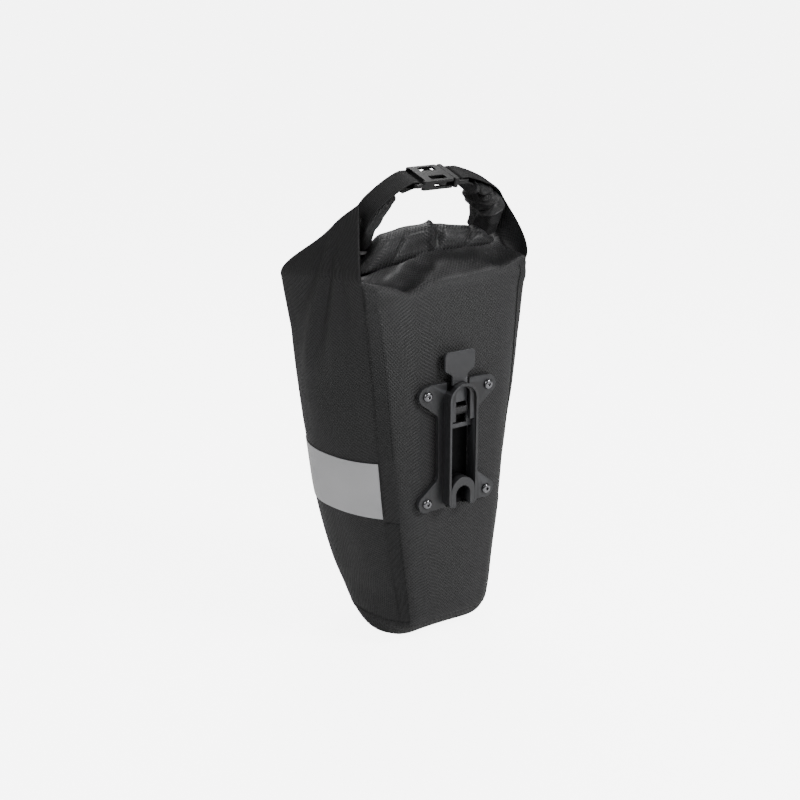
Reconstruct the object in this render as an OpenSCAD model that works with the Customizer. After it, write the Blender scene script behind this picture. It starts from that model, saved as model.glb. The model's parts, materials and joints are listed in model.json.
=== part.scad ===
// Small roll-top pannier bag with a drop-on rack bracket.
// Origin: centre of the lower stud seat, on the bracket's front rim. +Z up, the rack is at -Y.

/* [Bag body] */
// Height of the bag body from its bottom to the top edge of the back panel
body_h = 360; // [320:1:400]
// How far the bottom lies below the stud seat
bottom_drop = 153.5; // [145:0.5:165]
// Width of the back panel at its top edge
back_top_w = 182; // [170:1:196]
// Widest width across the sides
widest_w = 204; // [194:1:216]
// Depth from the back seams to the front of the belly
belly_depth = 155; // [140:1:170]
// Thickness of the coated fabric
fabric_t = 1.2; // [0.8:0.1:1.6]
// Thickness of the welded seam tapes
tape_t = 0.6; // [0.4:0.1:0.9]
// Thickness of the reflective band
band_t = 0.4; // [0.3:0.1:0.6]

/* [Roll top] */
// Length of the straight rolled mouth
roll_len = 156; // [140:1:158]
// Depth of the roll, front to back
roll_d = 32; // [26:1:32]
// Height of the roll
roll_h = 29; // [22:1:29]
// Forward lean of the handle loop towards the rack, in degrees
loop_lean = 18; // [10:1:22]
// Width of the webbing
web_w = 25; // [20:1:26]
// Thickness of the webbing
web_t = 1.8; // [1.4:0.1:2]

/* [Buckle] */
// Overall width of the buckle
buckle_w = 31; // [30:1:34]
// Thickness of the buckle
buckle_t = 9; // [8.6:0.2:10]

/* [Bracket] */
// Horizontal spacing of the bracket screws
screw_dx = 69; // [66:0.5:72]
// Vertical spacing of the bracket screws
screw_dz = 103.5; // [102:0.5:105]
// Width of the raised housing
housing_w = 32.3; // [31.5:0.1:33]
// Wall of the raised housing
housing_wall = 2.4; // [2:0.1:2.6]
// Radius of the rounded stud slots
stud_r = 8.2; // [8:0.1:8.4]
// Distance between the two stud centres
stud_pitch = 95.5; // [94:0.5:97]
// Width of the pull tab's head
tab_w = 33.5; // [30:0.5:35]

/* [Hidden] */
$fn = 48;

// Layers behind the bracket, as distances from the rim plane
ear_y = 10;
plate_back = 14;
gasket_t = 0.8;
panel_y = plate_back + gasket_t;
board_t = 2;
board_y = panel_y + fabric_t;
backing_y = board_y + board_t + 0.1;
backing_t = 1.5;
washer_y = backing_y + backing_t;
washer_t = 1;
nut_y = washer_y + washer_t;
nut_t = 4.7;
// The screw pattern is centred this far above the stud seat
pattern_z = 46.5;
screw_r = 2.5;
screw_hole_r = 2.7;
head_r = 4.75;
head_t = 2.75;

// Body: the sections are polar about a centre line behind the back seams
seam_y = 20;
half_back = back_top_w / 2;
half_wide = widest_w / 2;
flat_half = 46;
flat_share = 0.62;
// Steps across each half of the wrap-around panel; the first is the seam tape
n_half = 17;
corner_col = 8;
n_back = 12;
row_steps = 3;
low_row = 6;
last_row = 8;
// Each row, from the top: height, back half-width, side half-width, front reach, centre depth (all as
// shares of the driving sizes), then back seam set-in, bow of the back panel, squareness and tilt
ROWS = [
    [1.000, 1.022, 0.990, 0.890, 0.430, 8, 6.0, 1.00, 0.090],
    [0.760, 0.915, 0.985, 0.995, 0.460, 8, 13.2, 0.45, 0.020],
    [0.526, 0.812, 0.960, 1.000, 0.480, 12, 17.2, 0.06, 0.000],
    [0.372, 0.750, 0.895, 0.970, 0.490, 12, 17.2, 0.00, 0.000],
    [0.218, 0.660, 0.790, 0.875, 0.465, 11, 15.0, 0.00, 0.000],
    [0.111, 0.600, 0.700, 0.715, 0.405, 9, 12.0, 0.00, 0.000],
    [0.056, 0.555, 0.630, 0.640, 0.380, 10, 9.0, 0.00, 0.000],
    [0.018, 0.490, 0.560, 0.560, 0.330, 17, 4.0, 0.00, 0.000],
    [0.000, 0.390, 0.460, 0.470, 0.300, 30, 0.0, 0.00, 0.000]
];
// Below this height the wall thickness turns from sideways to upwards
turn_z = -95;

// Top form: the front corners, as seen from the section's centre
corner_rise = 56;
front_rise = 72;
side_lean = 0.194;
corner_power = 14;

// Roll and the ridges that rise to its ends
roll_y = 67;
roll_z = 225;
ridge_front = [84, 82, 234];
ridge_mid = [88, 69, 245];
ridge_back = [84, 56, 238];
slope_clear = 1.9;
slope_front_y = roll_y + roll_d / 2 + slope_clear;
slope_back_y = roll_y - roll_d / 2 - slope_clear;
slope_z = 222;

// Handle loop: its foot in the middle of the bag, and the buckle's height in the loop's own leaning plane
loop_y = 68;
loop_z = 244;
buckle_c = 44;
female_l = -27;
mouth_x = 16;
male_r = 33;
bar_w = 4;
bar_t = 3.4;
cavity_half = 2.2;
window_x = [-8, 9];
window_y = [5.2, 12];
prong_t = 3.4;
prong_y = 8.6;

// ---------- general functions ----------
function unit(p) = p / norm(p);
function lerp(a, b, t) = a + (b - a) * t;
function hermite(a, b, c, d, t) =
    0.5 * (2 * b + (c - a) * t + (2 * a - 5 * b + 4 * c - d) * t * t + (3 * b - a - 3 * c + d) * t * t * t);
function clamp_row(i) = ROWS[max(0, min(last_row, i))];
function row(v) = let (i = min(floor(v), last_row - 1))
    hermite(clamp_row(i - 1), clamp_row(i), clamp_row(i + 1), clamp_row(i + 2), v - i);
function arc(c, r, a0, a1, n) = [for (i = [0 : n]) let (a = lerp(a0, a1, i / n)) c + r * [cos(a), sin(a)]];
function bezier(a, b, c, d, t) =
    let (s = 1 - t) a * s * s * s + 3 * b * s * s * t + 3 * c * s * t * t + d * t * t * t;

// Height, half-widths and depths of the section at row v
function row_z(r) = r[0] * body_h - bottom_drop;
function seam_x(r) = r[1] * half_back;
function seam_d(r) = seam_y + r[5];
function centre_y(r) = seam_y + r[4] * belly_depth;

// Radius of the wrap-around wall at angle a from the sideways direction
function round_radius(r, a) = let (
        side = r[2] * half_wide,
        back = norm([seam_x(r), centre_y(r) - seam_d(r)]),
        front = seam_y + r[3] * belly_depth - centre_y(r),
        a0 = atan2(seam_d(r) - centre_y(r), seam_x(r)))
    a < 0 ? side + (back - side) * pow(a / a0, 2) : side + (front - side) * pow(sin(a), 2);
function square_radius(a) = let (
        side = half_wide * 0.99 / (cos(a) - side_lean * sin(a)),
        k = (sin(a) - 0.448) / 0.552,
        front = (corner_rise + (front_rise - corner_rise) * max(0, k)) / max(sin(a), 0.02))
    a < 3 || side < 0 ? (side > 0 ? side : front)
        : pow(pow(side, -corner_power) + pow(front, -corner_power), -1 / corner_power);

// A point of the wrap-around wall: s runs from the right seam (0) to the front (1)
function half_point(v, s) = let (
        r = row(v),
        a0 = atan2(seam_d(r) - centre_y(r), seam_x(r)),
        a = lerp(a0, 90, s),
        q = r[7] * min(1, s * 6),
        rad = lerp(round_radius(r, a), square_radius(a), q),
        y = centre_y(r) + rad * sin(a))
    [rad * cos(a), y, row_z(r) - r[8] * (y - seam_d(r))];
// Column c runs from the right seam over the front to the left seam
function wrap_point(v, c) = c <= n_half ? half_point(v, c / n_half)
    : let (p = half_point(v, 2 - c / n_half)) [-p[0], p[1], p[2]];
// Column c runs across the back panel from the left seam to the right one
function back_point(v, c) = let (
        r = row(v),
        w = seam_x(r),
        x = w * (2 * c / n_back - 1),
        flat = min(flat_half, flat_share * w),
        edge = max(0, (abs(x) - flat) / (w - flat)),
        y = max(panel_y, seam_d(r) - r[6] * (1 - pow(edge, 3))))
    [x, y, row_z(r)];
// Direction from a wall point into the bag
function inward(p, v) = let (r = row(v)) unit([0, centre_y(r), max(row_z(r), turn_z)] - p);
function back_inward(p, v) = let (r = row(v), k = pow(min(1, abs(p[0]) / seam_x(r)), 4), n = inward(p, v),
        m = unit([0, 1, max(0, (turn_z - row_z(r)) / 60)]))
    unit(lerp(m, n, k));
function wrap_at(v, c, o) = let (p = wrap_point(v, c)) p + o * inward(p, v);
function back_at(v, c, o) = let (p = back_point(v, c)) p + o * back_inward(p, v);

// ---------- general modules ----------
// A closed sheet between two equal grids of points, outer and inner
module sheet(outer, inner) {
    nr = len(outer);
    nc = len(outer[0]);
    total = nr * nc;
    points = concat([for (line = outer) for (p = line) p], [for (line = inner) for (p = line) p]);
    function id(i, j) = i * nc + j;
    skins = [for (i = [0 : nr - 2]) for (j = [0 : nc - 2]) for (f = [
            [id(i, j), id(i, j + 1), id(i + 1, j + 1)], [id(i, j), id(i + 1, j + 1), id(i + 1, j)]]) f];
    back = [for (f = skins) [f[0] + total, f[2] + total, f[1] + total]];
    border = concat([for (j = [0 : nc - 1]) id(0, j)], [for (i = [1 : nr - 1]) id(i, nc - 1)],
        [for (j = [nc - 2 : -1 : 0]) id(nr - 1, j)], [for (i = [nr - 2 : -1 : 1]) id(i, 0)]);
    n = len(border);
    rim = [for (k = [0 : n - 1]) let (a = border[k], b = border[(k + 1) % n]) for (f = [
            [b, a, a + total], [b, a + total, b + total]]) f];
    polyhedron(points = points, faces = concat(skins, back, rim), convexity = 10);
}
// A prism along Y between two depths, from a flat outline in X and Z
module slab(y0, y1) translate([0, y1, 0]) rotate([90, 0, 0]) linear_extrude(y1 - y0) children();
// Round bars along Y at the four screws
module at_screws(y0, y1, r) for (x = [-1, 1]) for (z = [-1, 1])
    translate([x * screw_dx / 2, y0, pattern_z + z * screw_dz / 2]) rotate([-90, 0, 0])
        cylinder(r = r, h = y1 - y0);
// The leaning plane of the handle loop: X across, Z up along the loop
module loop_frame() translate([0, loop_y, loop_z]) rotate([loop_lean, 0, 0]) children();
// A flat outline in the loop's plane, thickened across it
module loop_slab(w) slab(-w / 2, w / 2) children();
// A flat ribbon along a path in the loop's plane
module ribbon(path, t) {
    n = len(path);
    function side(i) = let (d = unit(path[min(n - 1, i + 1)] - path[max(0, i - 1)])) [-d[1], d[0]] * t / 2;
    polygon(concat([for (i = [0 : n - 1]) path[i] + side(i)], [for (i = [n - 1 : -1 : 0]) path[i] - side(i)]));
}

// ---------- bag body ----------
function row_list(a, b) = [for (i = [0 : (b - a) * row_steps]) a + i / row_steps];
function wrap_grid(a, b, c0, c1, o) = [for (v = row_list(a, b)) [for (c = [c0 : c1]) wrap_at(v, c, o)]];
function back_grid(vs, c0, c1, o) = [for (v = vs) [for (c = [c0 : c1]) back_at(v, c, o)]];

module back_panel() color([0.16, 0.16, 0.17]) difference() {
    sheet(back_grid(row_list(0, low_row), 0, n_back, 0), back_grid(row_list(0, low_row), 0, n_back, fabric_t));
    at_screws(panel_y - 3, panel_y + 5, screw_hole_r);
}
module wrap_panel() color([0.11, 0.11, 0.12])
    sheet(wrap_grid(0, low_row, 0, 2 * n_half, 0), wrap_grid(0, low_row, 0, 2 * n_half, fabric_t));

// The bottom is a bowl: rings of the whole outline, then a flat middle
function ring(v, o) = concat([for (c = [0 : 2 * n_half - 1]) wrap_at(v, c, o)],
    [for (c = [0 : n_back - 1]) back_at(v, c, o)]);
module bowl(rings_out, rings_in) {
    nr = len(rings_out);
    nc = len(rings_out[0]);
    total = nr * nc;
    points = concat([for (line = rings_out) for (p = line) p], [for (line = rings_in) for (p = line) p],
        [middle(rings_out[nr - 1]), middle(rings_in[nr - 1])]);
    function id(i, j) = i * nc + j % nc;
    skins = [for (i = [0 : nr - 2]) for (j = [0 : nc - 1]) for (f = [
            [id(i, j), id(i, j + 1), id(i + 1, j + 1)], [id(i, j), id(i + 1, j + 1), id(i + 1, j)]]) f];
    back = [for (f = skins) [f[0] + total, f[2] + total, f[1] + total]];
    rim = [for (j = [0 : nc - 1]) for (f = [[id(0, j + 1), id(0, j), id(0, j) + total],
            [id(0, j + 1), id(0, j) + total, id(0, j + 1) + total]]) f];
    floor_out = [for (j = [0 : nc - 1]) [id(nr - 1, j), id(nr - 1, j + 1), 2 * total]];
    floor_in = [for (j = [0 : nc - 1]) [id(nr - 1, j + 1) + total, id(nr - 1, j) + total, 2 * total + 1]];
    polyhedron(points = points, faces = concat(skins, back, rim, floor_out, floor_in), convexity = 10);
}
function middle(points) = [for (p = points) 1] * points / len(points);
function bottom_rings(o) = concat([for (v = row_list(low_row, last_row)) ring(v, o)]);
module bottom_panel() color([0.10, 0.10, 0.11]) bowl(bottom_rings(0), bottom_rings(fabric_t));
module bottom_seam_tape() color([0.08, 0.08, 0.09]) sheet(
    [for (v = [low_row, low_row - 1 / row_steps]) [for (c = [2 * n_half : -1 : 0]) wrap_at(v, c, -tape_t)]],
    [for (v = [low_row, low_row - 1 / row_steps]) [for (c = [2 * n_half : -1 : 0]) wrap_at(v, c, 0)]]);

// Each side tape is one column wide and stops above and below the reflective band
module side_tape(c0) {
    sheet(wrap_grid(0, 2, c0, c0 + 1, -tape_t), wrap_grid(0, 2, c0, c0 + 1, 0));
    sheet(wrap_grid(3, low_row - 1 / row_steps, c0, c0 + 1, -tape_t),
        wrap_grid(3, low_row - 1 / row_steps, c0, c0 + 1, 0));
}
module left_seam_tape() color([0.08, 0.08, 0.09]) side_tape(2 * n_half - 1);
module right_seam_tape() color([0.08, 0.08, 0.09]) side_tape(0);
module reflective_band() color([0.72, 0.72, 0.73])
    sheet(wrap_grid(2, 3, 0, 2 * n_half, -band_t), wrap_grid(2, 3, 0, 2 * n_half, 0));

// ---------- folded top ----------
// Ruled sheets from the body's top edge up to the ridge lines and the roll
core = [0, 75, 175];
function roofed(base, top, n) = [for (i = [n : -1 : 0]) [for (j = [0 : len(base) - 1]) lerp(base[j], top[j], i / n)]];
function inner_line(top) = [for (p = top) p + fabric_t * unit(core - p)];
function wrap_edge(c0, c1, o) = [for (c = [c0 : c1]) wrap_at(0, c, o)];
function back_edge(o) = [for (c = [n_back : -1 : 0]) back_at(0, c, o)];
module roof(base_out, base_in, top) sheet(roofed(base_out, top, 4), roofed(base_in, inner_line(top), 4));
gable_top = [for (c = [0 : corner_col]) let (t = c / corner_col)
    bezier(ridge_back, lerp(ridge_back, ridge_mid, 0.67), lerp(ridge_front, ridge_mid, 0.67), ridge_front, t)];
front_end = 2 * n_half - corner_col;
function ridge_line(end, y, n) = [for (i = [0 : n]) let (k = 1 - 2 * i / n, e = pow(abs(k), 4))
    [end[0] * k, lerp(y, end[1], e), lerp(slope_z, end[2], e)]];
front_top = ridge_line(ridge_front, slope_front_y, front_end - corner_col);
back_top = ridge_line(ridge_back, slope_back_y, n_back);
module gable() roof(wrap_edge(0, corner_col, 0), wrap_edge(0, corner_col, fabric_t), gable_top);
module left_gable() color([0.11, 0.11, 0.12]) mirror([1, 0, 0]) gable();
module right_gable() color([0.11, 0.11, 0.12]) gable();
module front_slope() color([0.11, 0.11, 0.12])
    roof(wrap_edge(corner_col, front_end, 0), wrap_edge(corner_col, front_end, fabric_t), front_top);
module back_slope() color([0.15, 0.15, 0.16]) roof(reversed(back_edge(0)), reversed(back_edge(fabric_t)),
    reversed(back_top));

// The rolled mouth: an oval tube with rounded ends, slotted for its stiffening strip
function roll_scale(k) = sqrt(max(0, 1 - pow(abs(k), 10)));
module roll_tube() color([0.13, 0.13, 0.14]) difference() {
    rings = [for (k = [-0.97, -0.9, -0.75, -0.45, 0, 0.45, 0.75, 0.9, 0.97]) [for (i = [0 : 23]) let (s = roll_scale(k))
        [k * roll_len / 2, roll_y + s * roll_d / 2 * cos(i * 15), roll_z + s * roll_h / 2 * sin(i * 15)]]];
    nc = 24;
    nr = len(rings);
    polyhedron(points = [for (line = rings) for (p = line) p], faces = concat(
        [for (i = [0 : nr - 2]) for (j = [0 : nc - 1])
            [i * nc + j, i * nc + (j + 1) % nc, (i + 1) * nc + (j + 1) % nc, (i + 1) * nc + j]],
        [[for (j = [nc - 1 : -1 : 0]) j]], [[for (j = [0 : nc - 1]) (nr - 1) * nc + j]]), convexity = 4);
    translate([0, roll_y, roll_z]) cube([roll_len, 20.2, 2.2], center = true);
}
module mouth_stiffener() color([0.2, 0.2, 0.2])
    translate([0, roll_y, roll_z]) cube([roll_len - 8, 20, 2], center = true);

// ---------- handle loop ----------
// Each end rises from the roll to the buckle; x is mirrored for the left side
function web_path(base, lift, bar) = concat(
    [for (i = [0 : 12]) bezier(base, base + [-3, 13], [bar + 18, buckle_c + lift - 3],
        [bar + 3, buckle_c + bar_t / 2 + web_t / 2 + 0.15], i / 12)],
    arc([bar - bar_w / 2 + 0.2, buckle_c], bar_t / 2 + web_t / 2 + 0.15, 90, 270, 8),
    [for (i = [0 : 4]) lerp([bar + 1, buckle_c - bar_t / 2 - web_t / 2 - 0.15],
        [bar + 13, buckle_c - 5 - lift], i / 4)]);
right_bar = male_r - bar_w / 2 - 0.2;
left_bar = -female_l - bar_w / 2 - 0.2;
right_path = web_path([87, 17], 1.6, right_bar);
left_path = web_path([74, 5], 1.2, left_bar);
// The folded fabric of each end fills the space under the webbing
function bundle(path, inner0, inner1, n, gap) = concat([for (i = [0 : n]) path[i] + [-gap, -gap]],
    [for (i = [0 : 8]) bezier(inner1, lerp(inner1, inner0, 0.3) + [2, -2], inner0 + [-6, 8], inner0, i / 8)]);
module right_roll_end() color([0.12, 0.12, 0.13]) loop_frame() loop_slab(31)
    polygon(bundle(right_path, [68, 9], [51, 27], 8, 1.4));
module left_roll_end() color([0.12, 0.12, 0.13]) loop_frame() mirror([1, 0, 0]) loop_slab(27)
    polygon(bundle(left_path, [61, 2], [47, 30], 7, 1.4));
module right_webbing() color([0.14, 0.14, 0.14]) loop_frame() loop_slab(web_w) ribbon(right_path, web_t);
module left_webbing() color([0.14, 0.14, 0.14]) loop_frame() mirror([1, 0, 0]) loop_slab(web_w)
    ribbon(left_path, web_t);
// A bar of stitches across the turned-back end of each webbing
module bar_tack(x, z) loop_frame() translate([x, 0, z]) cube([2.4, web_w - 5, 0.6], center = true);
module right_bar_tack() color([0.2, 0.2, 0.2])
    bar_tack(right_path[len(right_path) - 2][0], right_path[len(right_path) - 2][1] - web_t / 2 - 0.9);
module left_bar_tack() color([0.2, 0.2, 0.2])
    bar_tack(-left_path[len(left_path) - 2][0], left_path[len(left_path) - 2][1] - web_t / 2 - 0.9);

// Side-release buckle: the socket half on the left end, the forked half on the right end
module buckle_plan(half, x0, x1, c) polygon([[x0, -half + c], [x0 + c, -half], [x1 - c, -half], [x1, -half + c],
    [x1, half - c], [x1 - c, half], [x0 + c, half], [x0, half - c]]);
module buckle_female() color([0.05, 0.05, 0.05]) loop_frame() translate([0, 0, buckle_c]) difference() {
    union() {
        translate([0, 0, -buckle_t / 2]) linear_extrude(buckle_t) buckle_plan(buckle_w / 2, female_l + 8, mouth_x - 0.4, 2);
        translate([0, 0, -bar_t / 2]) linear_extrude(bar_t) buckle_plan(buckle_w / 2, female_l, female_l + 12, 2);
    }
    translate([(female_l + bar_w + female_l + 11) / 2, 0, 0]) cube([7 - 0.01, web_w + 1.2, buckle_t + 1], center = true);
    translate([-10, -12.4, -cavity_half]) cube([40, 24.8, 2 * cavity_half]);
    translate([-6, -20, -cavity_half]) cube([40, 40, 2 * cavity_half]);
    for (s = [0, 1]) mirror([0, s, 0]) translate([window_x[0], window_y[0], -buckle_t])
        cube([window_x[1] - window_x[0], window_y[1] - window_y[0], 2 * buckle_t]);
}
module buckle_male() color([0.05, 0.05, 0.05]) loop_frame() translate([0, 0, buckle_c]) difference() {
    union() {
        translate([0, 0, -buckle_t / 2]) linear_extrude(buckle_t) buckle_plan(buckle_w / 2, mouth_x, mouth_x + 5, 1);
        translate([0, 0, -bar_t / 2]) linear_extrude(bar_t) buckle_plan(buckle_w / 2, mouth_x + 3, male_r, 2);
        translate([-2, -2.4, -prong_t / 2]) cube([mouth_x + 4, 4.8, prong_t]);
    }
    translate([(mouth_x + 6 + male_r - bar_w) / 2, 0, 0])
        cube([male_r - bar_w - mouth_x - 6, web_w + 1.2, buckle_t + 1], center = true);
    for (s = [-1, 1]) translate([mouth_x - 0.1, s * prong_y, 0])
        cube([5, 5, prong_t + 0.6], center = true);
}
module prong(s) loop_frame() translate([0, 0, buckle_c - prong_t / 2]) linear_extrude(prong_t) polygon([
    [mouth_x + 2.1, s * (prong_y - 1.9)], [mouth_x + 2.1, s * (prong_y + 1.9)], [9, s * (prong_y + 2.1)],
    [7.5, s * 14.2], [5, s * 14.8], [1, s * 13.6], [-4.5, s * 9.6], [-5.2, s * 8.2], [-3, s * 7.4],
    [4, s * 8.4], [12, s * (prong_y - 1.9)]]);
module prong_front() color([0.05, 0.05, 0.05]) prong(-1);
module prong_back() color([0.05, 0.05, 0.05]) prong(1);

// ---------- inside the back ----------
module stiffener_board() color([0.2, 0.2, 0.2]) difference() {
    vs = [for (i = [2 : 5 * row_steps]) i / row_steps];
    sheet(back_grid(vs, 1, n_back - 1, fabric_t), back_grid(vs, 1, n_back - 1, fabric_t + board_t));
    at_screws(board_y - 3, board_y + 5, screw_hole_r);
}
module backing_plate() color([0.6, 0.6, 0.62]) difference() {
    slab(backing_y, backing_y + backing_t) rounded_plan(screw_dx + 12, screw_dz + 15, 6);
    at_screws(backing_y - 1, backing_y + 3, screw_hole_r);
}
module rounded_plan(w, h, r) translate([0, pattern_z]) polygon(concat(
    arc([w / 2 - r, h / 2 - r], r, 0, 90, 8), arc([r - w / 2, h / 2 - r], r, 90, 180, 8),
    arc([r - w / 2, r - h / 2], r, 180, 270, 8), arc([w / 2 - r, r - h / 2], r, 270, 360, 8)));
module bracket_washers() color([0.7, 0.7, 0.72]) difference() {
    at_screws(washer_y, washer_y + washer_t, 5);
    at_screws(washer_y - 1, washer_y + 2, screw_hole_r);
}
module bracket_nuts() color([0.7, 0.7, 0.72]) difference() {
    for (x = [-1, 1]) for (z = [-1, 1]) translate([x * screw_dx / 2, nut_y, pattern_z + z * screw_dz / 2])
        rotate([-90, 0, 0]) cylinder(r = 4.6, h = nut_t, $fn = 6);
    at_screws(nut_y - 1, nut_y + nut_t + 1, screw_r + 0.05);
}
module bracket_screws() color([0.85, 0.85, 0.86]) difference() {
    union() {
        at_screws(ear_y, nut_y + nut_t + 1, screw_r);
        at_screws(ear_y - head_t, ear_y, head_r);
    }
    for (x = [-1, 1]) for (z = [-1, 1])
        translate([x * screw_dx / 2, ear_y - head_t - 0.1, pattern_z + z * screw_dz / 2])
            rotate([-90, 0, 0]) cylinder(r = 1.75, h = 1.8, $fn = 6);
}

// ---------- bracket ----------
plate_top = 108;
plate_low = -13.5;
ear_r = 9;
waist = 22;
housing_top_c = 91;
housing_low = -11.5;
half_housing = housing_w / 2;
half_inside = half_housing - housing_wall;
rail_y0 = 2.2;
rail_y1 = 5;
rail_low = 71.5;
slider_y0 = 7.4;
slider_y1 = 9.8;
slide_gap = 0.25;
// One quarter of the plate's edge, from the waist round an ear to the middle of its top or bottom
function ear_edge(side, z_mid, up) = let (c = [side * (screw_dx / 2 + 0.3), z_mid + up * (screw_dz / 2)],
        far = up > 0 ? plate_top : plate_low)
    concat([[side * waist, z_mid + up * 27], [side * (waist + 1.2), z_mid + up * 31.5]],
        [for (i = [0 : 12]) let (a = lerp(-62, 90, i / 12)) c + ear_r * [side * cos(a), up * sin(a)]],
        [[side * (screw_dx / 2 - 4), far]]);
function reversed(list) = [for (i = [len(list) - 1 : -1 : 0]) list[i]];
module plate_plan() polygon(concat(ear_edge(1, pattern_z, 1), reversed(ear_edge(-1, pattern_z, 1)),
    ear_edge(-1, pattern_z, -1), reversed(ear_edge(1, pattern_z, -1))));
module slot_plan(half, top_c, low, r) polygon(concat(arc([0, top_c], half, 0, 180, 32),
    arc([r - half, low + r], r, 180, 270, 6), arc([half - r, low + r], r, 270, 360, 6)));
module mount_plate() color([0.24, 0.25, 0.26]) difference() {
    union() {
        slab(ear_y, plate_back) plate_plan();
        slab(0, plate_back) slot_plan(half_housing, housing_top_c, housing_low, 5);
    }
    // The well, the deeper pocket behind the rails, and the way out for the stud at the bottom
    slab(-1, rail_y1) translate([-stud_r, 20]) square([2 * stud_r, stud_pitch - 20]);
    translate([0, -1, stud_pitch]) rotate([-90, 0, 0]) cylinder(r = stud_r, h = rail_y1 + 1);
    slab(-1, 13) slot_plan(half_inside, 17, housing_low + 2, 2);
    slab(-1, 13) translate([-half_inside, 10]) square([2 * half_inside, rail_low - 10]);
    slab(-1, rail_y0) slot_plan(half_inside, housing_top_c, 20, 2);
    slab(rail_y1, 13) slot_plan(half_inside, housing_top_c, 20, 2);
    slab(-1, 13) translate([-stud_r, housing_low - 5]) square([2 * stud_r, 12]);
    // Window in the top wall for the tab's neck
    translate([-8.5 - slide_gap, slider_y0 - slide_gap, housing_top_c]) cube([17 + 2 * slide_gap, 2.85, 30]);
    at_screws(ear_y - 1, plate_back + 1, screw_hole_r);
}
module lower_seat() color([0.2, 0.2, 0.21]) difference() {
    slab(0, 13) slot_plan(half_inside - 0.05, 3, housing_low + 2.05, 2);
    translate([0, -1, 0]) rotate([-90, 0, 0]) cylinder(r = stud_r, h = 20);
    translate([-stud_r, -1, -20]) cube([2 * stud_r, 20, 20]);
}
module mount_gasket() color([0.08, 0.08, 0.08]) difference() {
    slab(plate_back, plate_back + gasket_t) plate_plan();
    at_screws(plate_back - 1, plate_back + 2, screw_hole_r);
}
// Sliding plate with a window for the pawl, a neck and the pull tab
slider_low = 63.5;
slider_half = half_inside - 0.35;
window_low = 67.5;
window_top = 88;
neck_half = 8.5;
shoulder_z = 116;
tab_top = 136.5;
module latch_slider() color([0.26, 0.27, 0.28]) union() {
    difference() {
        slab(slider_y0, slider_y1) union() {
            polygon([[-slider_half, slider_low], [slider_half, slider_low], [slider_half, 81], [neck_half, 88],
                [neck_half, shoulder_z - 4], [-neck_half, shoulder_z - 4], [-neck_half, 88], [-slider_half, 81]]);
            polygon(concat(arc([neck_half + 4, shoulder_z - 4], 4, 180, 90, 6),
                arc([tab_w / 2 - 4, shoulder_z + 5], 4, 270, 360, 6), arc([tab_w / 2 - 4, tab_top - 4], 4, 0, 90, 6),
                arc([4 - tab_w / 2, tab_top - 4], 4, 90, 180, 6), arc([4 - tab_w / 2, shoulder_z + 5], 4, 180, 270, 6),
                arc([-neck_half - 4, shoulder_z - 4], 4, 90, 0, 6)));
        }
        slab(slider_y0 - 1, slider_y1 + 1) translate([-7.6, window_low]) square([15.2, window_top - window_low]);
    }
    slab(slider_y1 - 0.5, 12.6) translate([-2.6, window_top + 0.4]) square([5.2, 2]);
}
module latch_pawl() color([0.5, 0.5, 0.52]) rotate([90, 0, 90]) translate([0, 0, -7.2]) linear_extrude(14.4)
    polygon([[5, 84], [9.6, 84], [9.6, 76], [7.2, 76], [5, 79]]);
// Return spring, pressed between the slider's lug and the housing's top wall
spring_r = 1.05;
wire_r = 0.25;
spring_low = window_top + 2.4;
spring_top = 103.4;
turns = 8;
module latch_spring() color([0.75, 0.75, 0.76]) {
    per_turn = 9;
    n = turns * per_turn;
    sides = 6;
    climb = (spring_top - spring_low - 2 * wire_r) / n;
    points = [for (i = [0 : n]) for (k = [0 : sides - 1]) let (a = i * 360 / per_turn, b = k * 360 / sides,
            r = spring_r + wire_r * cos(b))
        [r * cos(a), 11.35 + r * sin(a), spring_low + wire_r + i * climb + wire_r * sin(b)]];
    polyhedron(points = points, faces = concat(
        [for (i = [0 : n - 1]) for (k = [0 : sides - 1]) let (a = i * sides + k, b = i * sides + (k + 1) % sides)
            for (f = [[a, a + sides, b + sides], [a, b + sides, b]]) f],
        [[for (k = [0 : sides - 1]) k]], [[for (k = [sides - 1 : -1 : 0]) n * sides + k]]), convexity = 10);
}

back_panel();
wrap_panel();
bottom_panel();
left_seam_tape();
right_seam_tape();
bottom_seam_tape();
reflective_band();
back_slope();
front_slope();
left_gable();
right_gable();
roll_tube();
mouth_stiffener();
left_roll_end();
right_roll_end();
left_webbing();
right_webbing();
left_bar_tack();
right_bar_tack();
buckle_female();
buckle_male();
prong_front();
prong_back();
stiffener_board();
backing_plate();
mount_gasket();
mount_plate();
lower_seat();
latch_slider();
latch_pawl();
latch_spring();
bracket_screws();
bracket_washers();
bracket_nuts();
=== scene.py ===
"""Looks for the roll-top pannier bag: fabric, webbing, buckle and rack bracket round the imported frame.

Shapes are worked out in millimetres, in the frame's own axes, and turned into metres by mesh_object().
"""
import json
import math

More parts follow.
